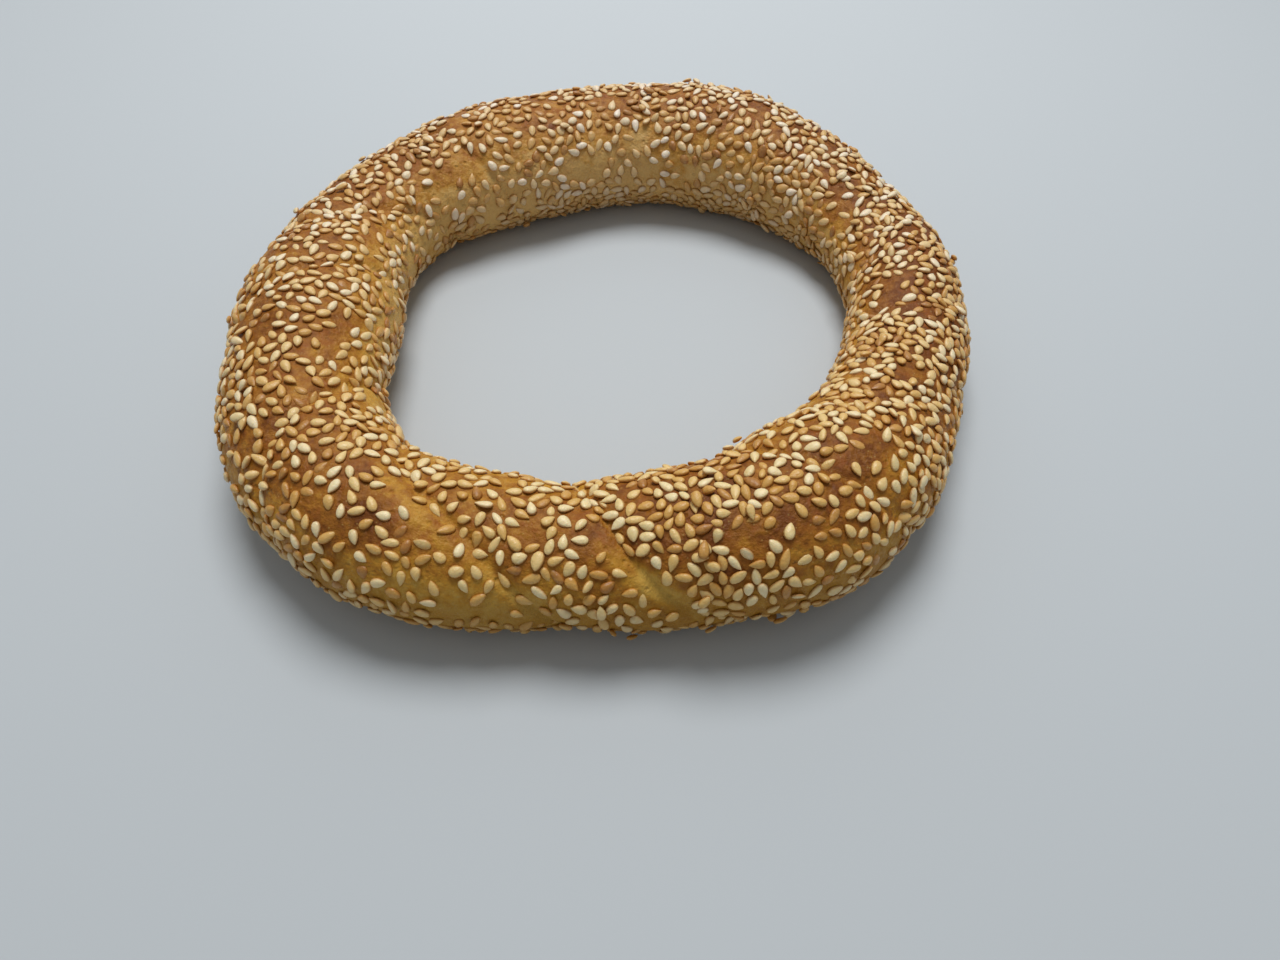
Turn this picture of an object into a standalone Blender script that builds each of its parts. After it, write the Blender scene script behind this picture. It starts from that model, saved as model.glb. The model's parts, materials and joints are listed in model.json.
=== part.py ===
"""A simit: two ropes of dough twisted together, closed into a ring and baked.

The ring lies as it was baked, on the flat strip that the tray gave it. Metres, +Z up. The origin
is on the tray, under the middle of the ring's box. Run it with
blender --background --python part.py, or from the text editor.
"""

from math import cos, hypot, pi, radians, sin, sqrt, tau

import bmesh
import bpy
from mathutils import Vector

# Driving dimensions of the baked ring, as means over its thick and thin places.
ring_across = 0.155  # outer diameter
rope_width = 0.0284  # the twisted rope seen from above
rope_height = 0.0255  # the rope's height before the tray flattens it
tray_strip = 0.0115  # width of the flat strip underneath

# Hand rolling leaves the ring a little oval and the rope uneven. Each wave is a number of waves
# round the ring, its height as a share of the mean, and the angle of its first crest.
path_waves = ((2, 0.042, 42), (4, 0.024, 44), (5, 0.019, 8))
rope_waves = ((1, 0.070, 171), (2, 0.039, 102), (3, 0.082, 74), (4, 0.025, 30), (6, 0.039, 0))

# The twist. A half turn more than a whole number lets each strand run on into the other.
twist_turns = 6.5
twist_start = 43  # degrees from the outer side up to the first seam, at angle 0
pitch_waves = ((8, 23, 253),)  # waves, degrees that the twist leads and angle of the first crest
strand_apart = 0.045  # half the distance between the strands' middles, per half width
seam_waves = ((1, 0.45, 260), (3, 0.25, 25))  # where the two strands grew together less

# The facets.
rings_round = 120
points_round = 38

# The look of the baked crust.
crust_colour = (0.47, 0.22, 0.07, 1.0)
crust_roughness = 0.55


def clear_scene():
    for thing in list(bpy.data.objects):
        bpy.data.objects.remove(thing, do_unlink=True)


def waves_at(waves, angle):
    """The sum of some waves at an angle round the ring."""
    return sum(height * cos(count * (angle - radians(crest))) for count, height, crest in waves)


def path_at(angle):
    """The rope's middle line, seen from above."""
    mean = (ring_across - rope_width) / 2
    reach = mean * (1 + waves_at(path_waves, angle))
    return Vector((reach * cos(angle), reach * sin(angle), 0))


def outward_at(angle):
    """The level direction that points out of the ring, square to the middle line."""
    step = pi / 720
    along = path_at(angle + step) - path_at(angle - step)
    return Vector((along.y, -along.x, 0)).normalized()


def seam_turn(angle):
    """How far round the section one seam lies; the other is half a turn on."""
    lead = twist_start + waves_at(pitch_waves, angle)
    return radians(lead) - twist_turns * angle


def strands_reach(turn, apart):
    """Outline of two round strands side by side: 1 on average, least at the seams, turn 0 and pi."""
    return apart * (abs(sin(turn)) - 2 / pi) + sqrt(1 - (apart * cos(turn)) ** 2)


def section_at(angle):
    """One ring of points round the rope, its lower side pressed flat by the tray."""
    size = 1 + waves_at(rope_waves, angle)
    half_width, half_height = size * rope_width / 2, size * rope_height / 2
    middle_height = half_height * sqrt(1 - (tray_strip / rope_width) ** 2)
    apart = strand_apart * (1 + waves_at(seam_waves, angle))
    middle, outward, seam = path_at(angle), outward_at(angle), seam_turn(angle)
    for number in range(points_round):
        turn = tau * number / points_round
        reach = strands_reach(turn - seam, apart)
        point = middle + outward * (half_width * reach * cos(turn))
        point.z = max(0.0, middle_height + half_height * reach * sin(turn))
        yield point


def centre_over_tray(mesh):
    """Move the mesh until the middle of its box is over the origin."""
    for axis in (0, 1):
        places = [vert.co[axis] for vert in mesh.verts]
        middle = (min(places) + max(places)) / 2
        for vert in mesh.verts:
            vert.co[axis] -= middle


def make_crust():
    crust = bpy.data.materials.new("crust")
    crust.use_nodes = True
    shader = crust.node_tree.nodes["Principled BSDF"]
    shader.inputs["Base Color"].default_value = crust_colour
    shader.inputs["Roughness"].default_value = crust_roughness
    shader.inputs["Metallic"].default_value = 0.0
    return crust


def make_simit():
    mesh = bmesh.new()
    rings = []
    for number in range(rings_round):
        section = section_at(tau * number / rings_round)
        rings.append([mesh.verts.new(point) for point in section])
    for here, there in zip(rings, rings[1:] + rings[:1]):
        for number in range(points_round):
            after = (number + 1) % points_round
            mesh.faces.new((here[number], there[number], there[after], here[after]))
    centre_over_tray(mesh)
    bmesh.ops.recalc_face_normals(mesh, faces=mesh.faces)

    data = bpy.data.meshes.new("simit")
    mesh.to_mesh(data)
    mesh.free()
    data.materials.append(make_crust())
    data.shade_smooth()
    simit = bpy.data.objects.new("simit", data)
    bpy.context.collection.objects.link(simit)
    return simit


clear_scene()
make_simit()
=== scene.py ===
# A simit, the sesame bread ring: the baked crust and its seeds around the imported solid.
import json
import math

import bmesh
import bpy
import numpy as np
from mathutils import Matrix, Vector, noise
from mathutils.bvhtree import BVHTree

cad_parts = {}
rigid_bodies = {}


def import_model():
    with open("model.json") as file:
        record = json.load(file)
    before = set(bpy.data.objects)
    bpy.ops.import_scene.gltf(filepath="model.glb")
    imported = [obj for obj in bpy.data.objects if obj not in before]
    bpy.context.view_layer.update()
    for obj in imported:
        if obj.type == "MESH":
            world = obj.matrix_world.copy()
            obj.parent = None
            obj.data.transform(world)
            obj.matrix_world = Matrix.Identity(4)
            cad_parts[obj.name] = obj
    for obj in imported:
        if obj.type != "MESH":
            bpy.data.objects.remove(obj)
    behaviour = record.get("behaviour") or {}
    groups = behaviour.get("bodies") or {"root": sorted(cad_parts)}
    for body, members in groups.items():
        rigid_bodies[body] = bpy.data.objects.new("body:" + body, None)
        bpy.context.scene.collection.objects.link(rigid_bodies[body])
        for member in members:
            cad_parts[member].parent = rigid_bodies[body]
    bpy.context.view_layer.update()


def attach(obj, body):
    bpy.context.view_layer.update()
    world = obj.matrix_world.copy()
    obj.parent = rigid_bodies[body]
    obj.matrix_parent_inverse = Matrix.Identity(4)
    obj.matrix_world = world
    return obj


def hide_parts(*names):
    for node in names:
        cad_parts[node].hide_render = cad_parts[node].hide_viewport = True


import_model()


class Value:
    # a node's output that formulas can use like a number
    def __init__(self, tree, socket):
        self.tree = tree
        self.socket = socket

    def math(self, operation, *others):
        node = self.tree.nodes.new("ShaderNodeMath")
        node.operation = operation
        for value, socket in zip((self, *others), node.inputs):
            plug(self.tree, value, socket)
        return Value(self.tree, node.outputs[0])

    def __add__(self, other):
        return self.math("ADD", other)

    def __sub__(self, other):
        return self.math("SUBTRACT", other)

    def __mul__(self, other):
        return self.math("MULTIPLY", other)

    def __truediv__(self, other):
        return self.math("DIVIDE", other)

    def __rsub__(self, other):
        return self * -1 + other

    __radd__ = __add__
    __rmul__ = __mul__

    def cos(self):
        return self.math("COSINE")

    def sin(self):
        return self.math("SINE")

    def root(self):
        return self.math("SQRT")

    def clamped(self):
        return self.math("MAXIMUM", 0).math("MINIMUM", 1)

    def eased(self, low, high):
        # 0 below low, 1 above high, a soft step between them
        node = self.tree.nodes.new("ShaderNodeMapRange")
        node.interpolation_type = "SMOOTHSTEP"
        for name, value in (("Value", self), ("From Min", low), ("From Max", high)):
            plug(self.tree, value, node.inputs[name])
        return Value(self.tree, node.outputs["Result"])


def plug(tree, value, socket):
    if isinstance(value, Value):
        value = value.socket
    if isinstance(value, bpy.types.NodeSocket):
        tree.links.new(value, socket)
    else:
        socket.default_value = value


def addNode(tree, kind, **inputs):
    # a node with some of its inputs set, spaces in their names written as _
    node = tree.nodes.new(kind)
    for name, value in inputs.items():
        plug(tree, value, node.inputs[name.replace("_", " ")])
    return node


def waveSum(angle, waves):
    # waves are (how many round the ring, height, angle of the first crest in degrees)
    total = 0
    for count, height, crest in waves:
        total = (angle * count - math.radians(crest * count)).cos() * height + total
    return total


def waveSlope(angle, waves):
    total = 0
    for count, height, crest in waves:
        total = (angle * count - math.radians(crest * count)).sin() * (-height * count) + total
    return total


def newGeometryTree(name, inputs):
    # one named input for each entry; returns the tree, its input values and their identifiers
    kinds = {
        float: "NodeSocketFloat",
        int: "NodeSocketInt",
        bpy.types.Material: "NodeSocketMaterial",
        bpy.types.Collection: "NodeSocketCollection",
    }
    tree = bpy.data.node_groups.new(name, "GeometryNodeTree")
    tree.interface.new_socket("Geometry", in_out="INPUT", socket_type="NodeSocketGeometry")
    tree.interface.new_socket("Geometry", in_out="OUTPUT", socket_type="NodeSocketGeometry")
    given = tree.nodes.new("NodeGroupInput")
    identifiers = {}
    for label, value in inputs.items():
        item = tree.interface.new_socket(label, in_out="INPUT", socket_type=kinds[type(value)])
        identifiers[label] = item.identifier
    values = {label: Value(tree, given.outputs[label]) for label in inputs}
    values["Geometry"] = given.outputs["Geometry"]
    return tree, values, identifiers


def runTree(name, source, tree, inputs, identifiers):
    # the tree's result on a source mesh, as a plain object at the origin
    holder = bpy.data.objects.new(name + "Source", source)
    bpy.context.collection.objects.link(holder)
    modifier = holder.modifiers.new("nodes", "NODES")
    modifier.node_group = tree
    for label, value in inputs.items():
        modifier[identifiers[label]] = value
    graph = bpy.context.evaluated_depsgraph_get()
    mesh = bpy.data.meshes.new_from_object(holder.evaluated_get(graph))
    bpy.data.objects.remove(holder)
    mesh.name = name
    piece = bpy.data.objects.new(name, mesh)
    bpy.context.collection.objects.link(piece)
    return piece


crust = {
    "Across": 0.155,  # outer diameter, metres
    "Rope Width": 0.0284,
    "Rope Height": 0.0255,
    "Tray Strip": 0.0115,  # flat strip under the rope
    "Twist Turns": 6.5,
    "Twist Start": 43.0,  # degrees from the outer side up to the first seam
    "Strands Apart": 0.045,
    "Crease Depth": 0.0005,
    "Crease Width": 0.12,  # share of the rope's half width
    "Lump Height": 0.0008,
    "Wrinkle Height": 0.00035,
    "Seat": 0.00035,  # the seeds underneath hold the crust this far off the table
    "Rings": 640,
    "Points": 144,
}
pathWaves = ((2, 0.042, 42), (4, 0.024, 44), (5, 0.019, 8))
ropeWaves = ((1, 0.070, 171), (2, 0.039, 102), (3, 0.082, 74), (4, 0.025, 30), (6, 0.039, 0))
pitchWaves = ((8, 23, 253),)
seamWaves = ((1, 0.45, 260), (3, 0.25, 25))


def noiseAt(tree, place, scale, detail, roughness=0.5):
    node = addNode(tree, "ShaderNodeTexNoise", Vector=place, Scale=scale, Detail=detail)
    node.inputs["Roughness"].default_value = roughness
    return Value(tree, node.outputs["Fac"]) - 0.5


def movedPoints(tree, geometry, position=None, offset=None):
    node = addNode(tree, "GeometryNodeSetPosition", Geometry=geometry)
    if position:
        plug(tree, position, node.inputs["Position"])
    if offset:
        plug(tree, offset, node.inputs["Offset"])
    return node.outputs["Geometry"]


def vectorOf(tree, x, y, z):
    return addNode(tree, "ShaderNodeCombineXYZ", X=x, Y=y, Z=z).outputs[0]


def ropeSurface(tree, given, around, over):
    # where a place of the rope lies on the twisted ring, and how deep in a crease it is
    # first the path of the rope's middle and the level way out of the ring
    mean = (given["Across"] - given["Rope Width"]) * 0.5
    reach = mean * (waveSum(around, pathWaves) + 1)
    slope = mean * waveSlope(around, pathWaves)
    outX = slope * around.sin() + reach * around.cos()
    outY = reach * around.sin() - slope * around.cos()
    outLength = (outX * outX + outY * outY).root()

    # two strands side by side, turning as they go round
    size = waveSum(around, ropeWaves) + 1
    halfWidth = size * given["Rope Width"] * 0.5
    halfHeight = size * given["Rope Height"] * 0.5
    stripShare = given["Tray Strip"] / given["Rope Width"]
    middle = halfHeight * (1 - stripShare * stripShare).root()
    seamStrength = waveSum(around, seamWaves) + 1
    lead = (waveSum(around, pitchWaves) + given["Twist Start"]) * math.radians(1)
    turn = over - lead + given["Twist Turns"] * around
    apart = given["Strands Apart"] * seamStrength
    awayFromSeam = turn.sin().math("ABSOLUTE")
    acrossStrands = apart * turn.cos()
    bulge = apart * (awayFromSeam - 2 / math.pi) + (1 - acrossStrands * acrossStrands).root()

    side = halfWidth * bulge * over.cos() / outLength
    ringX = reach * around.cos() + outX * side
    ringY = reach * around.sin() + outY * side
    ringZ = middle + halfHeight * bulge * over.sin()
    nearSeam = (awayFromSeam / given["Crease Width"]).math("POWER", 2) * -1
    crease = nearSeam.math("EXPONENT") * seamStrength
    return vectorOf(tree, ringX, ringY, ringZ), crease


def reliefOf(tree, given, position):
    # lumps, creases and fine wrinkles, pushed out along the normal
    lumps = noiseAt(tree, position, 55, 1) + noiseAt(tree, position, 150, 1) * 0.4
    wrinkles = noiseAt(tree, position, 620, 3, 0.6)
    named = tree.nodes.new("GeometryNodeInputNamedAttribute")
    named.data_type = "FLOAT_VECTOR"
    named.inputs["Name"].default_value = "section"
    parts = addNode(tree, "ShaderNodeSeparateXYZ", Vector=named.outputs[0])
    creaseHere = Value(tree, parts.outputs["Z"])
    height = lumps * given["Lump Height"] + wrinkles * given["Wrinkle Height"]
    height = height - creaseHere * given["Crease Depth"]
    normal = tree.nodes.new("GeometryNodeInputNormal").outputs[0]
    push = addNode(tree, "ShaderNodeVectorMath")
    push.operation = "SCALE"
    plug(tree, normal, push.inputs[0])
    plug(tree, height, push.inputs["Scale"])
    return push.outputs[0]


def seatedPlace(tree, given, geometry, position):
    # pressed flat underneath, and its box centred over the origin
    box = addNode(tree, "GeometryNodeBoundBox", Geometry=geometry)
    middleOfBox = addNode(tree, "ShaderNodeVectorMath")
    plug(tree, box.outputs["Min"], middleOfBox.inputs[0])
    plug(tree, box.outputs["Max"], middleOfBox.inputs[1])
    boxParts = addNode(tree, "ShaderNodeSeparateXYZ", Vector=middleOfBox.outputs[0])
    parts = addNode(tree, "ShaderNodeSeparateXYZ", Vector=position)
    newX = Value(tree, parts.outputs["X"]) - Value(tree, boxParts.outputs["X"]) * 0.5
    newY = Value(tree, parts.outputs["Y"]) - Value(tree, boxParts.outputs["Y"]) * 0.5
    newZ = Value(tree, parts.outputs["Z"]).math("MAXIMUM", given["Seat"])
    return vectorOf(tree, newX, newY, newZ)


def crustTree(inputs):
    tree, given, identifiers = newGeometryTree("breadRing", inputs)
    position = tree.nodes.new("GeometryNodeInputPosition").outputs[0]

    # a flat grid, once round the ring by once over the rope, which is then wrapped into the ring
    grid = addNode(tree, "GeometryNodeMeshGrid", Size_X=math.tau, Size_Y=math.tau)
    plug(tree, given["Rings"] + 1, grid.inputs["Vertices X"])
    plug(tree, given["Points"] + 1, grid.inputs["Vertices Y"])
    flat = addNode(tree, "ShaderNodeSeparateXYZ", Vector=position)
    around = Value(tree, flat.outputs["X"])
    over = Value(tree, flat.outputs["Y"]) + math.pi / 2  # 0 outwards, a quarter turn on top
    surface, crease = ropeSurface(tree, given, around, over)

    # the finish and the seeds read this: how far out and up a place faces, and its crease
    kept = addNode(tree, "GeometryNodeStoreNamedAttribute", Geometry=grid.outputs["Mesh"])
    kept.data_type = "FLOAT_VECTOR"
    kept.inputs["Name"].default_value = "section"
    plug(tree, vectorOf(tree, over.cos(), over.sin(), crease), kept.inputs["Value"])
    wrapped = movedPoints(tree, kept.outputs[0], position=surface)
    closed = addNode(tree, "GeometryNodeMergeByDistance", Geometry=wrapped, Distance=1e-6)

    raised = movedPoints(tree, closed.outputs[0], offset=reliefOf(tree, given, position))
    seated = movedPoints(tree, raised, position=seatedPlace(tree, given, raised, position))
    smooth = addNode(tree, "GeometryNodeSetShadeSmooth", Geometry=seated)
    whole = addNode(tree, "GeometryNodeRealizeInstances", Geometry=smooth.outputs[0])
    dressed = addNode(tree, "GeometryNodeSetMaterial", Geometry=whole.outputs[0])
    plug(tree, given["Crust"], dressed.inputs["Material"])
    out = tree.nodes.new("NodeGroupOutput")
    tree.links.new(dressed.outputs[0], out.inputs["Geometry"])
    return tree, identifiers


def newMaterial(name):
    material = bpy.data.materials.new(name)
    material.use_nodes = True
    return material, material.node_tree, material.node_tree.nodes["Principled BSDF"]


def ramp(tree, value, stops):
    node = tree.nodes.new("ShaderNodeValToRGB")
    plug(tree, value, node.inputs["Fac"])
    points = node.color_ramp.elements
    while len(points) < len(stops):
        points.new(0.5)
    for point, (place, colour) in zip(points, stops):
        point.position = place
        point.color = (*colour, 1)
    return node.outputs["Color"]


def mixed(tree, share, first, second):
    node = tree.nodes.new("ShaderNodeMix")
    node.data_type = "RGBA"
    plug(tree, share, node.inputs["Factor"])
    for colour, socket in ((first, node.inputs["A"]), (second, node.inputs["B"])):
        plug(tree, colour if isinstance(colour, bpy.types.NodeSocket) else (*colour, 1), socket)
    return node.outputs["Result"]


def attributeValue(tree, name):
    node = tree.nodes.new("ShaderNodeAttribute")
    node.attribute_name = name
    return Value(tree, node.outputs["Fac"])


def goldenInFront(tree, colour, spot, kept, paintedFrontChange):
    # painted light: the ring's front side made warmer, standing in for warm light bounced from
    # below, and its back side greyer, standing in for a sheen; how much of red, green and blue is
    # kept half way round, and how much more in front or less at the back
    where = addNode(tree, "ShaderNodeSeparateXYZ", Vector=spot)
    x, y = Value(tree, where.outputs["X"]), Value(tree, where.outputs["Y"])
    front = y * -1 / (x * x + y * y).root()
    tint = addNode(tree, "ShaderNodeVectorMath")
    tint.operation = "MULTIPLY"
    plug(tree, colour, tint.inputs[0])
    shares = [front * more + share for share, more in zip(kept, paintedFrontChange)]
    plug(tree, vectorOf(tree, *shares), tint.inputs[1])
    return tint.outputs[0]


def shown(*colour):
    # a colour as a screen shows it, 0 to 255, in the linear values that shaders take
    return tuple(((c / 255 + 0.055) / 1.055) ** 2.4 if c > 10 else c / 3294.6 for c in colour)


crustLook = {
    "pale": shown(220, 173, 94),
    "golden": shown(203, 145, 57),
    "brown": shown(168, 106, 36),
    "deep": shown(122, 66, 19),
    "rust": shown(158, 86, 31),
    "rustShare": 0.6,
    "pitShare": 0.15,
    # painted shade: a darker, olive colour low on the outer side of the ring
    "paintedFlankShade": shown(165, 114, 34),  # low on the outer side
    "paintedFlankShadeShare": 0.6,
    "speck": shown(232, 204, 140),
    "speckShare": 0.22,
    "kept": (0.96, 1.0, 0.99),
    # painted light: how much warmer the front side and greyer the back side are made
    "paintedFrontChange": (0.0, -0.02, -0.32),
    "gloss": 0.25,
    "bumpHeight": 0.0005,
}
# what browns the crust: 0 is pale dough, 1 the deepest brown
browning = {
    "everywhere": 0.20,
    "top": 0.56,
    "outwards": 0.10,
    "inwards": -0.10,
    "underneath": 0.45,
    "crease": -0.14,
    "waves": ((1, 0.12, 350), (2, 0.07, 0), (5, 0.07, 0)),
    "patches": ((45, 2, 0.5, 0.6), (210, 2, 0.5, 0.85), (700, 3, 0.6, 0.85)),
}


def brownedShare(tree, spot, around, outwards, upwards, crease):
    # patches are noise: scale, detail, roughness and share; they fade where the crust is paler
    mottled = 0
    for scale, detail, roughness, share in browning["patches"]:
        mottled = noiseAt(tree, spot, scale, detail, roughness) * share + mottled
    paler = attributeValue(tree, "paler")
    heat = mottled * (1 - paler.clamped() * 1.2) - paler + browning["everywhere"]
    heat = heat + upwards.eased(0.2, 1.0) * browning["top"] + outwards * browning["outwards"]
    heat = heat + (outwards * -1).eased(0.2, 1.0) * browning["inwards"]
    heat = heat + (upwards * -1).eased(0.75, 0.95) * browning["underneath"]
    return heat + crease * browning["crease"] + waveSum(around, browning["waves"])


def crustMaterial():
    look = crustLook
    material, tree, shader = newMaterial("bakedCrust")
    spot = tree.nodes.new("ShaderNodeTexCoord").outputs["Object"]
    section = tree.nodes.new("ShaderNodeAttribute")
    section.attribute_name = "section"
    parts = addNode(tree, "ShaderNodeSeparateXYZ", Vector=section.outputs["Vector"])
    outwards = Value(tree, parts.outputs["X"])
    upwards = Value(tree, parts.outputs["Y"])
    crease = Value(tree, parts.outputs["Z"])
    where = addNode(tree, "ShaderNodeSeparateXYZ", Vector=spot)
    x, y = Value(tree, where.outputs["X"]), Value(tree, where.outputs["Y"])
    around = y.math("ARCTAN2", x)

    # the browning's colour, then rusty patches on top, dark pits, painted shade on the low outer
    # flank and tiny bubbles
    heat = brownedShare(tree, spot, around, outwards, upwards, crease)
    stops = (
        (0.0, look["pale"]),
        (0.3, look["golden"]),
        (0.62, look["brown"]),
        (0.95, look["deep"]),
    )
    colour = ramp(tree, heat, stops)
    rust = noiseAt(tree, spot, 330, 3, 0.65).eased(0.0, 0.17) * upwards.clamped()
    colour = mixed(tree, rust * look["rustShare"], colour, look["rust"])
    pits = addNode(tree, "ShaderNodeTexVoronoi", Vector=spot, Scale=420)
    dark = 1 - Value(tree, pits.outputs["Distance"]).eased(0.05, 0.22)
    colour = mixed(tree, dark * look["pitShare"], colour, look["deep"])
    # painted shade: the low outer flank mixed toward a darker olive
    low = (outwards - upwards).eased(0.2, 1.1)
    colour = mixed(tree, low * look["paintedFlankShadeShare"], colour, look["paintedFlankShade"])
    bubbles = addNode(tree, "ShaderNodeTexVoronoi", Vector=spot, Scale=900)
    speck = 1 - Value(tree, bubbles.outputs["Distance"]).eased(0.06, 0.2)
    colour = mixed(tree, speck * look["speckShare"], colour, look["speck"])
    # painted light: the front side warmer, the back side greyer
    colour = goldenInFront(tree, colour, spot, look["kept"], look["paintedFrontChange"])
    plug(tree, colour, shader.inputs["Base Color"])

    dull = noiseAt(tree, spot, 160, 2) * 0.3 + noiseAt(tree, spot, 1400, 2) * 0.5 + 0.52
    plug(tree, dull, shader.inputs["Roughness"])
    shader.inputs["Specular IOR Level"].default_value = look["gloss"]
    shader.inputs["Subsurface Weight"].default_value = 0.05
    shader.inputs["Subsurface Scale"].default_value = 0.001
    shader.inputs["Subsurface Radius"].default_value = (1.0, 0.5, 0.2)

    grain = noiseAt(tree, spot, 1500, 4, 0.6) * 0.5 + noiseAt(tree, spot, 520, 3, 0.6)
    pores = Value(tree, pits.outputs["Distance"]).eased(0.0, 0.25)
    bump = addNode(tree, "ShaderNodeBump", Strength=1.0, Distance=look["bumpHeight"])
    plug(tree, grain + pores * 0.5, bump.inputs["Height"])
    plug(tree, bump.outputs["Normal"], shader.inputs["Normal"])
    return material


def makeCrust():
    inputs = dict(crust, Crust=crustMaterial())
    tree, identifiers = crustTree(inputs)
    piece = runTree("crust", bpy.data.meshes.new("empty"), tree, inputs, identifiers)
    print("crust:", len(piece.data.polygons), "faces")
    return piece


seeds = {
    "count": 4420,
    "length": 0.00277,
    "width": 0.00180,
    "thickness": 0.00102,
    "spread": 0.10,  # how much sizes differ
    "sunk": 0.31,  # share of the thickness that is in the crust
    "sunkSpread": 0.08,
    "glazedSunk": 0.26,  # how much deeper the half swallowed ones sit
    "lyingTilt": 0.10,
    "edgewiseTilt": 0.40,
    "piledTilt": 0.30,
    "gap": 0.0027,  # middles closer than this drift apart while the seeds are strewn
    "rounds": 26,  # how often neighbours nudge each other apart
    "edgewise": 0.16,  # share that lies well tilted
    "piled": 0.02,  # share more that lies on other seeds
    "glazed": 0.13,  # share that the dough has half swallowed
    "random": 11,
}
# seeds are thicker on one side of the ring; waves as for the ring
seedWaves = ((1, 0.07, 345), (4, 0.04, 60))
# places of their own: around and over in degrees, half length and half width in metres, lean in
# degrees, how bare of seeds, how much paler than the crust around
barePlaces = (
    (243, 77, 0.0160, 0.0017, -34, 0.97, 0.30),
    (274, 38, 0.0100, 0.0024, -41, 0.97, 0.45),
    (294, 60, 0.0040, 0.0022, 0, 0.90, -0.05),
    (26, 132, 0.0080, 0.0026, 90, 0.90, -0.15),
    (10, 172, 0.0035, 0.0030, 0, 0.80, 0.0),
    (83, 143, 0.0050, 0.0026, 10, 0.85, 0.15),
    (140, 142, 0.0055, 0.0030, 80, 0.85, -0.05),
    (238, 60, 0.0060, 0.0050, 0, 0.25, -0.25),
    (105, 120, 0.0011, 0.0009, 30, 0.0, -0.70),
    (118, 108, 0.0013, 0.0008, -20, 0.0, -0.60),
    (80, 128, 0.0060, 0.0035, 10, 0.25, 0.20),
    (310, 52, 0.0060, 0.0035, 20, 0.30, 0.30),
)


def meshNumbers(mesh):
    points = np.empty(len(mesh.vertices) * 3)
    mesh.vertices.foreach_get("co", points)
    section = np.empty(len(mesh.vertices) * 3)
    mesh.attributes["section"].data.foreach_get("vector", section)
    return points.reshape(-1, 3), section.reshape(-1, 3)


def placeShares(points, section):
    # how bare and how pale the places of their own make each point
    around = np.arctan2(points[:, 1], points[:, 0])
    over = np.arctan2(section[:, 1], section[:, 0])
    full, paler = np.ones(len(points)), np.zeros(len(points))
    ringRadius, ropeRadius = (crust["Across"] - crust["Rope Width"]) / 2, crust["Rope Width"] / 2
    for away, high, longHalf, wideHalf, lean, bare, pale in barePlaces:
        aside = np.angle(np.exp(1j * (around - math.radians(away))))
        aside = aside * (ringRadius + ropeRadius * math.cos(math.radians(high)))
        up = np.angle(np.exp(1j * (over - math.radians(high)))) * ropeRadius
        cosLean, sinLean = math.cos(math.radians(lean)), math.sin(math.radians(lean))
        along = (aside * cosLean + up * sinLean) / longHalf
        across = (up * cosLean - aside * sinLean) / wideHalf
        here = np.exp(-((along**2 + across**2) ** 2))
        full *= 1 - bare * here
        paler += pale * here
    return full, paler


def seedShare(points, section):
    # how thickly seeds lie at some points on the crust
    around = np.arctan2(points[:, 1], points[:, 0])
    share = placeShares(points, section)[0]
    for count, height, crest in seedWaves:
        share *= 1 + height * np.cos(count * (around - math.radians(crest)))
    share *= 1 + 0.16 * np.array([noise.noise(Vector(p) * 160) for p in points])
    share *= np.where(section[:, 1] < -0.9, 0.75, 1)
    share *= 1 - 0.22 * np.clip(section[:, 0] - section[:, 1], 0, 1)
    return np.clip(share, 0.02, None)


# a seed as three discs in a row: each one's place along its half length and its radius in half
# widths; and the share of each gap or overlap that one round mends
seedDiscs = ((-0.40, 0.92), (0.10, 0.90), (0.55, 0.58))
driftStep = 0.22
nudgeStep = 0.25


def unit(vectors):
    return vectors / np.linalg.norm(vectors, axis=1, keepdims=True)


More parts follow.
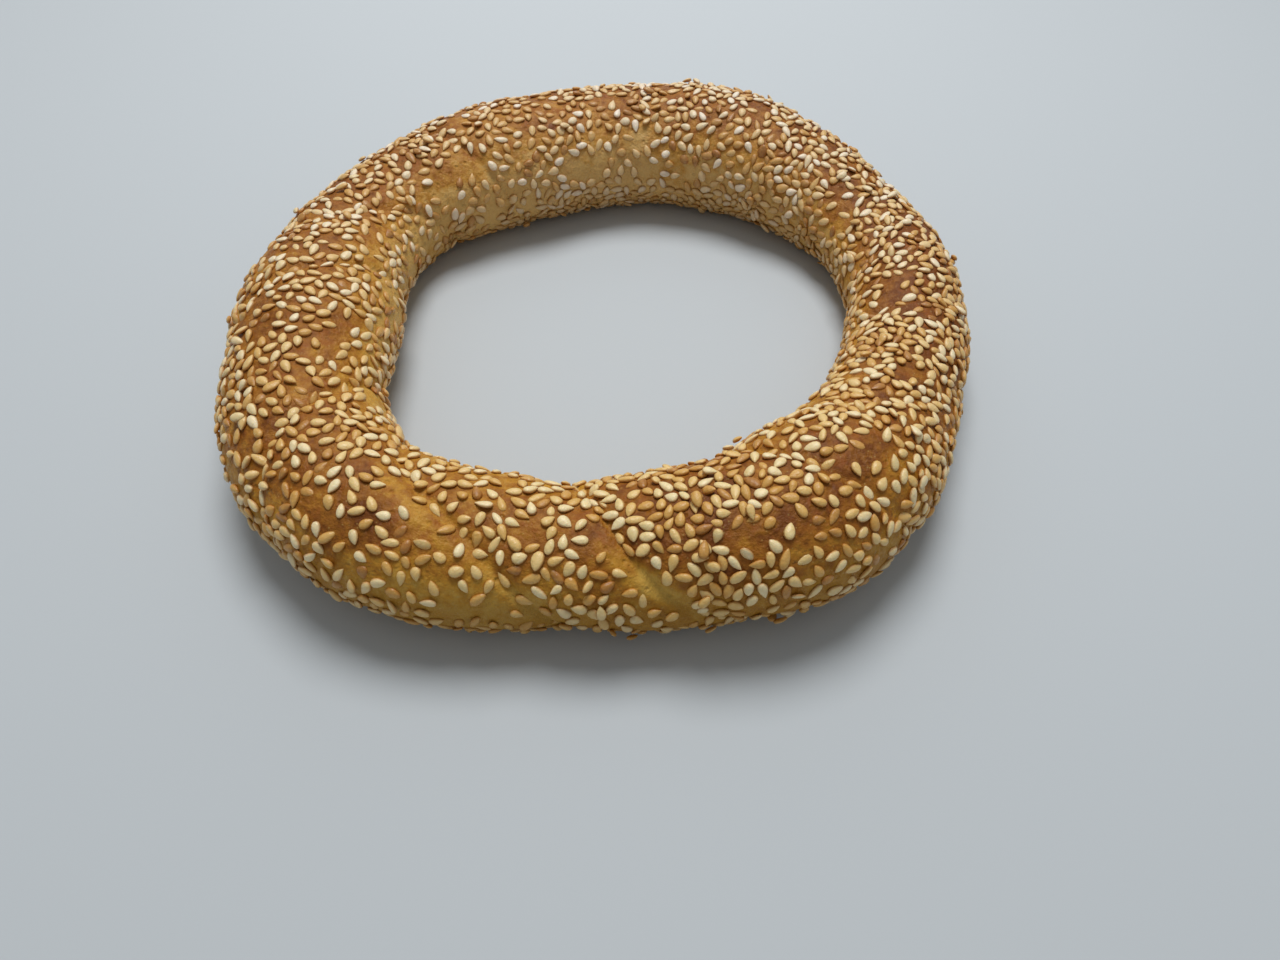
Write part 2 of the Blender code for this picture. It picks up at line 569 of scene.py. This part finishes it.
class SeedBed:
    # seeds strewn on the crust, each with a place, the crust's normal and its own heading
    def __init__(self, mesh, draw):
        self.points, self.section = meshNumbers(mesh)
        corners = np.array([face.vertices[:] for face in mesh.polygons])
        self.firstCorner = corners[:, 0]
        self.tree = BVHTree.FromPolygons(self.points.tolist(), corners.tolist())
        count = seeds["count"]
        areas = np.empty(len(corners))
        mesh.polygons.foreach_get("area", areas)
        first = self.points[self.firstCorner]
        chance = areas * seedShare(first, self.section[self.firstCorner])
        chosen = draw.choice(len(corners), count, p=chance / chance.sum())
        shares = draw.dirichlet((1, 1, 1, 1), count)
        self.place = (self.points[corners[chosen]] * shares[:, :, None]).sum(axis=1)
        self.heading = draw.normal(size=(count, 3))
        self.scale = np.exp(draw.normal(0, seeds["spread"], (count, 3)))
        self.settle()
        for step in range(seeds["rounds"]):
            if step < seeds["rounds"] / 3:
                self.drift()
            else:
                self.nudge()
            self.settle()
        share = seedShare(self.place, self.section[self.firstCorner[self.face]])
        stay = share > draw.uniform(0, 0.5, count)
        self.place, self.normal = self.place[stay], self.normal[stay]
        self.heading, self.scale = self.heading[stay], self.scale[stay]

    def settle(self):
        # back onto the crust
        found = [self.tree.find_nearest(Vector(p)) for p in self.place]
        self.place = np.array([hit[0] for hit in found])
        self.normal = np.array([hit[1] for hit in found])
        self.face = np.array([hit[2] for hit in found])
        level = (self.heading * self.normal).sum(axis=1, keepdims=True)
        self.heading = unit(self.heading - level * self.normal)

    def pairs(self, within):
        cells = {}
        keys = np.floor(self.place / within).astype(int)
        for number, key in enumerate(map(tuple, keys)):
            cells.setdefault(key, []).append(number)
        steps = [(i, j, k) for i in (-1, 0, 1) for j in (-1, 0, 1) for k in (-1, 0, 1)]
        first, second = [], []
        for key, members in cells.items():
            near = [n for step in steps for n in cells.get(tuple(np.add(key, step)), ())]
            for one in members:
                for other in near:
                    if other > one:
                        first.append(one)
                        second.append(other)
        first, second = np.array(first), np.array(second)
        gap = np.linalg.norm(self.place[first] - self.place[second], axis=1)
        return first[gap < within], second[gap < within]

    def drift(self):
        # middles move to an even spacing, wider where the seeds are meant to lie thinly
        share = seedShare(self.place, self.section[self.firstCorner[self.face]])
        wanted = seeds["gap"] * np.clip(share, 0.4, 2) ** -0.5
        first, second = self.pairs(seeds["gap"] * 1.4)
        apart = self.place[first] - self.place[second]
        gap = np.linalg.norm(apart, axis=1) + 1e-9
        short = np.clip((wanted[first] + wanted[second]) / 2 - gap, 0, None)
        push = apart / gap[:, None] * (short * driftStep)[:, None]
        np.add.at(self.place, first, push)
        np.add.at(self.place, second, -push)

    def nudge(self):
        # discs that overlap push and turn their seeds
        halfLength, halfWidth = seeds["length"] / 2, seeds["width"] / 2
        first, second = self.pairs(seeds["length"] * 1.05)
        move = np.zeros_like(self.place)
        twist = np.zeros(len(self.place))
        sideways = np.cross(self.normal, self.heading)
        for placeOne, radiusOne in seedDiscs:
            armOne = self.heading[first] * (placeOne * halfLength * self.scale[first, :1])
            for placeTwo, radiusTwo in seedDiscs:
                armTwo = self.heading[second] * (placeTwo * halfLength * self.scale[second, :1])
                apart = self.place[first] + armOne - self.place[second] - armTwo
                gap = np.linalg.norm(apart, axis=1) + 1e-9
                wanted = radiusOne * self.scale[first, 1] + radiusTwo * self.scale[second, 1]
                overlap = np.clip(wanted * halfWidth - gap, 0, None)
                push = apart / gap[:, None] * (overlap * nudgeStep)[:, None]
                np.add.at(move, first, push)
                np.add.at(move, second, -push)
                np.add.at(twist, first, placeOne * (push * sideways[first]).sum(axis=1))
                np.add.at(twist, second, -placeTwo * (push * sideways[second]).sum(axis=1))
        self.place += move
        self.heading += sideways * (twist / halfLength)[:, None]


# how pointed each outline is and how far it bends to one side
seedOutlines = ((0.62, 0.0), (0.74, 0.08), (0.88, -0.05), (0.68, -0.12), (1.0, 0.04), (0.80, 0.0))


def seedShape(name, sharpness, bend):
    # one seed, a unit long, wide and thick: round behind, narrower in front
    around, along = 8, 7
    mesh = bmesh.new()
    # where the seed is painted darker: toasted edges and painted shade on its sides and underside
    rim = mesh.verts.layers.float.new("rim")  # 0 on top of the seed, 1 at its edge and below
    rings = []
    for step in range(1, along):
        t = -math.cos(math.pi * step / along)
        wide = (1 - t) ** sharpness * (1 + t) ** 0.5
        peak = (sharpness - 0.5) / (sharpness + 0.5)
        wide /= (1 + peak) ** sharpness * (1 - peak) ** 0.5
        ring = []
        for turn in range(around):
            angle = math.tau * turn / around
            side, lift = math.cos(angle) * wide, math.sin(angle) * wide**0.75
            lift = lift * (1 if lift > 0 else 0.75)
            ring.append(mesh.verts.new((t / 2, (side + bend * (1 - t * t)) / 2, lift / 2)))
            ring[-1][rim] = 1 - max(0, math.sin(angle)) * math.sqrt(1 - t * t * 0.8)
        rings.append(ring)
    for here, there in zip(rings, rings[1:]):
        for turn in range(around):
            after = (turn + 1) % around
            mesh.faces.new((here[turn], there[turn], there[after], here[after]))
    for ring, tip in ((rings[0], -0.5), (rings[-1], 0.5)):
        end = mesh.verts.new((tip, 0, 0))
        end[rim] = 1
        for turn in range(around):
            mesh.faces.new((ring[turn], ring[(turn + 1) % around], end))
    bmesh.ops.recalc_face_normals(mesh, faces=mesh.faces)
    data = bpy.data.meshes.new(name)
    mesh.to_mesh(data)
    mesh.free()
    return bpy.data.objects.new(name, data)


def seedTree(inputs):
    # a seed on every point, turned and sized by the point's own attributes
    tree, given, identifiers = newGeometryTree("sesame", inputs)

    def kept(name, kind):
        node = tree.nodes.new("GeometryNodeInputNamedAttribute")
        node.data_type = kind
        node.inputs["Name"].default_value = name
        return node.outputs[0]

    shapes = addNode(tree, "GeometryNodeCollectionInfo", Collection=given["Shapes"])
    shapes.inputs["Separate Children"].default_value = True
    shapes.inputs["Reset Children"].default_value = True
    points = addNode(tree, "GeometryNodeMeshToPoints", Mesh=given["Geometry"])
    turned = tree.nodes.new("FunctionNodeAxesToRotation")
    turned.primary_axis, turned.secondary_axis = "Z", "X"
    plug(tree, kept("facing", "FLOAT_VECTOR"), turned.inputs["Primary Axis"])
    plug(tree, kept("heading", "FLOAT_VECTOR"), turned.inputs["Secondary Axis"])
    strewn = addNode(tree, "GeometryNodeInstanceOnPoints", Points=points.outputs[0])
    plug(tree, shapes.outputs[0], strewn.inputs["Instance"])
    strewn.inputs["Pick Instance"].default_value = True
    plug(tree, kept("shape", "INT"), strewn.inputs["Instance Index"])
    plug(tree, turned.outputs[0], strewn.inputs["Rotation"])
    plug(tree, kept("size", "FLOAT_VECTOR"), strewn.inputs["Scale"])
    whole = addNode(tree, "GeometryNodeRealizeInstances", Geometry=strewn.outputs[0])
    smooth = addNode(tree, "GeometryNodeSetShadeSmooth", Geometry=whole.outputs[0])
    dressed = addNode(tree, "GeometryNodeSetMaterial", Geometry=smooth.outputs[0])
    plug(tree, given["Finish"], dressed.inputs["Material"])
    out = tree.nodes.new("NodeGroupOutput")
    tree.links.new(dressed.outputs[0], out.inputs["Geometry"])
    return tree, identifiers


# each kind of seed: how many of all, its colours from pale to dark, the record's slot
seedKinds = {
    "seedsPale": (0.26, (shown(247, 228, 190), shown(237, 210, 154)), "sesame_pale"),
    "seedsLight": (0.34, (shown(237, 206, 148), shown(228, 188, 118)), "sesame_pale"),
    "seedsGolden": (0.30, (shown(224, 182, 112), shown(208, 156, 80)), "sesame_golden"),
    "seedsToasted": (0.10, (shown(206, 156, 86), shown(170, 113, 54)), "sesame_toasted"),
}
seedLook = {
    # toasted edges and painted shade: the colour each seed's rim is darkened toward
    "rim": shown(180, 116, 44),
    "rimShare": 0.68,
    "low": shown(180, 136, 64),  # low on the ring the seeds are darker and warmer: partly dough stain, partly painted shade
    "lowStainAndShadeShare": 0.62,
    "lowHeights": (0.004, 0.019),  # fully darkened up to the first, clean above the second
    "kept": (1.02, 1.02, 1.05),
    # painted light: how much warmer the front side and greyer the back side are made
    "paintedFrontChange": (0.02, -0.01, -0.18),
    "gloss": 0.5,
    "bumpHeight": 0.00018,
}


def seedMaterial(name, colours):
    look = seedLook
    material, tree, shader = newMaterial(name)
    spot = tree.nodes.new("ShaderNodeTexCoord").outputs["Object"]
    rimToastAndShade = attributeValue(tree, "rim")
    # toasted edges and painted shade: darker toward each seed's edge and underside
    toast = attributeValue(tree, "toast") * 0.7 + rimToastAndShade * rimToastAndShade * 0.45
    toast = toast + noiseAt(tree, spot, 1300, 3) * 1.2
    colour = ramp(tree, toast, ((0.1, colours[0]), (0.8, colours[1])))
    # toasted edges and painted shade at the seed's rim
    colour = mixed(tree, rimToastAndShade.eased(0.3, 0.95) * look["rimShare"], colour, look["rim"])
    height = Value(tree, addNode(tree, "ShaderNodeSeparateXYZ", Vector=spot).outputs["Z"])
    # dough stain and painted shade: seeds low on the ring made darker and warmer
    lowStainAndShade = (1 - height.eased(*look["lowHeights"])) * look["lowStainAndShadeShare"]
    colour = mixed(tree, lowStainAndShade, colour, look["low"])
    # painted light: the front side warmer, the back side greyer
    colour = goldenInFront(tree, colour, spot, look["kept"], look["paintedFrontChange"])
    plug(tree, colour, shader.inputs["Base Color"])
    plug(tree, noiseAt(tree, spot, 2500, 1) * 0.2 + 0.36, shader.inputs["Roughness"])
    shader.inputs["Specular IOR Level"].default_value = look["gloss"]
    shader.inputs["Subsurface Weight"].default_value = 0.10
    shader.inputs["Subsurface Scale"].default_value = 0.0008
    shader.inputs["Subsurface Radius"].default_value = (1.0, 0.6, 0.3)
    bump = addNode(tree, "ShaderNodeBump", Strength=0.8, Distance=look["bumpHeight"])
    plug(tree, noiseAt(tree, spot, 1700, 3, 0.6), bump.inputs["Height"])
    plug(tree, bump.outputs["Normal"], shader.inputs["Normal"])
    return material


def pointMesh(name, middles, attributes):
    mesh = bpy.data.meshes.new(name)
    mesh.from_pydata(middles.tolist(), [], [])
    for label, values in attributes.items():
        kind, field = {2: ("FLOAT_VECTOR", "vector"), 1: ("FLOAT", "value")}[values.ndim]
        if values.dtype.kind == "i":
            kind = "INT"
        made = mesh.attributes.new(label, kind, "POINT")
        made.data.foreach_set(field, values.ravel())
    return mesh


def laySeeds(bed, draw):
    # each seed's middle, facing, heading and size, and whether the dough half swallowed it
    strewn = len(bed.place)
    glazed = draw.random(strewn) < seeds["glazed"]
    sunk = seeds["sunk"] + draw.normal(0, seeds["sunkSpread"], strewn)
    sunk += np.where(glazed, seeds["glazedSunk"], 0)
    spin = draw.uniform(0, math.tau, (strewn, 1))
    onEdge = draw.random((strewn, 1)) < seeds["edgewise"]
    tilt = np.where(onEdge, seeds["edgewiseTilt"], seeds["lyingTilt"])
    tilt = tilt * draw.normal(size=(strewn, 1))

    # some more lean on the seeds that have close neighbours
    first, second = bed.pairs(seeds["width"] * 1.5)
    crowd = np.bincount(np.append(first, second), minlength=strewn)
    hosts = draw.choice(strewn, int(strewn * seeds["piled"]), replace=False, p=crowd / crowd.sum())
    who = np.append(np.arange(strewn), hosts)
    onTop = np.arange(len(who)) >= strewn
    normal, along = bed.normal[who], bed.heading[who]
    sideways = np.cross(normal, along)
    spin = np.append(spin, draw.uniform(0, math.tau, (len(hosts), 1)), axis=0)
    lean = along * np.cos(spin) + sideways * np.sin(spin)
    tilt = np.append(tilt, np.full((len(hosts), 1), seeds["piledTilt"]), axis=0)
    facing = unit(normal + lean * tilt)
    turned = lean + np.cross(normal, lean) * draw.normal(0, 0.5, (len(who), 1))
    along = np.where(onTop[:, None], turned, along)
    heading = unit(along - (along * facing).sum(axis=1, keepdims=True) * facing)
    scale = np.append(bed.scale, draw.permutation(bed.scale)[:len(hosts)], axis=0)
    size = scale * (seeds["length"], seeds["width"], seeds["thickness"])
    lift = size[:, 2] * np.where(onTop, 0.85, 0.45 - sunk[who] + 0.25 * np.abs(tilt[:, 0]))
    middles = bed.place[who] + normal * lift[:, None]
    middles += lean * np.where(onTop, seeds["width"] * 0.8, 0)[:, None]

    # none reaches below the table
    axes = np.stack((heading, np.cross(facing, heading), facing), axis=1)
    down = np.sqrt(((size / 2 * axes[:, :, 2]) ** 2).sum(axis=1))
    middles[:, 2] = np.maximum(middles[:, 2], down * 1.1 + 0.00002)
    return middles, facing, heading, size, glazed[who] & ~onTop


def makeSeeds(crustPiece):
    draw = np.random.default_rng(seeds["random"])
    bed = SeedBed(crustPiece.data, draw)
    paler = crustPiece.data.attributes.new("paler", "FLOAT", "POINT")
    paler.data.foreach_set("value", placeShares(bed.points, bed.section)[1])
    middles, facing, heading, size, glazed = laySeeds(bed, draw)
    count = len(middles)
    print("seeds strewn:", count)

    # seeds brown in patches, and more where the dough covers them; the kinds share them by rank
    toast = draw.random(count)
    patch = np.array([noise.noise(Vector(p) * 120) for p in middles])
    browned = draw.random(count) + 0.35 * patch + np.where(glazed, 0.4, 0)
    rank = browned.argsort().argsort() / count

    shapes = bpy.data.collections.new("seedShapes")
    for number, (sharpness, bend) in enumerate(seedOutlines):
        shapes.objects.link(seedShape("seed" + str(number), sharpness, bend))
    pieces = []
    start = 0
    for name, (share, colours, slotName) in seedKinds.items():
        chosen = (rank >= start) & (rank < start + share)
        start += share
        picked = draw.integers(0, len(seedOutlines), chosen.sum())
        attributes = {
            "facing": facing[chosen],
            "heading": heading[chosen],
            "size": size[chosen],
            "shape": picked.astype(np.int32),
            "toast": toast[chosen],
        }
        inputs = {"Shapes": shapes, "Finish": seedMaterial(name + "Finish", colours)}
        tree, identifiers = seedTree(inputs)
        source = pointMesh(name + "Points", middles[chosen], attributes)
        piece = runTree(name, source, tree, inputs, identifiers)
        pieces.append(piece)
        print(name + ":", chosen.sum(), "seeds,", len(piece.data.polygons), "faces")
    for shape in list(shapes.objects):
        bpy.data.objects.remove(shape)
    bpy.data.collections.remove(shapes)
    return pieces


studio = {
    "floor": shown(199, 205, 209),
    "floorHalf": 6.0,
    "sky": shown(220, 224, 226),
    "skyStrength": 0.36,
    "keyPlace": (0.02, 0.25, 0.70),
    "keySize": 0.40,
    "keyPower": 3.95,
    "wallPlace": (0.0, 0.62, 0.30),  # a pale wall behind, which gives the far side its gloss
    "wallSize": 0.60,
    "wallPower": 0.5,
}
camera = {
    "place": (0.0012, -0.1466, 0.1395),
    "aim": (0.0055, -0.0385, 0.0),
    "roll": 0.9,  # degrees
    "lens": 24.95,
}


def makeFloor():
    data = bpy.data.meshes.new("floor")
    half = studio["floorHalf"]
    corners = [(-half, -half, 0), (half, -half, 0), (half, half, 0), (-half, half, 0)]
    data.from_pydata(corners, [], [(0, 1, 2, 3)])
    floor = bpy.data.objects.new("floor", data)
    bpy.context.collection.objects.link(floor)
    material, tree, shader = newMaterial("paleFloor")
    shader.inputs["Base Color"].default_value = (*studio["floor"], 1)
    shader.inputs["Roughness"].default_value = 0.6
    shader.inputs["Specular IOR Level"].default_value = 0.2
    data.materials.append(material)


def makeSoftbox(name, place, size, power):
    light = bpy.data.lights.new(name, "AREA")
    light.shape = "DISK"
    light.size = size
    light.energy = power
    lamp = bpy.data.objects.new(name, light)
    lamp.location = place
    lamp.rotation_euler = (-Vector(place)).to_track_quat("-Z", "Y").to_euler()
    bpy.context.collection.objects.link(lamp)


def makeStudio():
    makeFloor()
    for name in ("key", "wall"):
        makeSoftbox(name, studio[name + "Place"], studio[name + "Size"], studio[name + "Power"])
    world = bpy.data.worlds.new("studioSky")
    world.use_nodes = True
    sky = world.node_tree.nodes["Background"]
    sky.inputs["Color"].default_value = (*studio["sky"], 1)
    sky.inputs["Strength"].default_value = studio["skyStrength"]
    bpy.context.scene.world = world
    bpy.context.scene.view_settings.view_transform = "Standard"
    print("studio: floor,", len(bpy.data.lights), "soft lights and sky")


def makeCamera():
    data = bpy.data.cameras.new("camera")
    data.lens = camera["lens"]
    data.clip_start = 0.01
    eye = bpy.data.objects.new("camera", data)
    place, aim = Vector(camera["place"]), Vector(camera["aim"])
    look = (aim - place).to_track_quat("-Z", "Y").to_matrix().to_4x4()
    roll = Matrix.Rotation(math.radians(camera["roll"]), 4, "Z")
    eye.matrix_world = Matrix.Translation(place) @ look @ roll
    bpy.context.collection.objects.link(eye)
    bpy.context.scene.camera = eye


makeStudio()
makeCamera()
crustPiece = makeCrust()
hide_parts("simit")
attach(crustPiece, "root")
for piece in makeSeeds(crustPiece):
    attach(piece, "root")
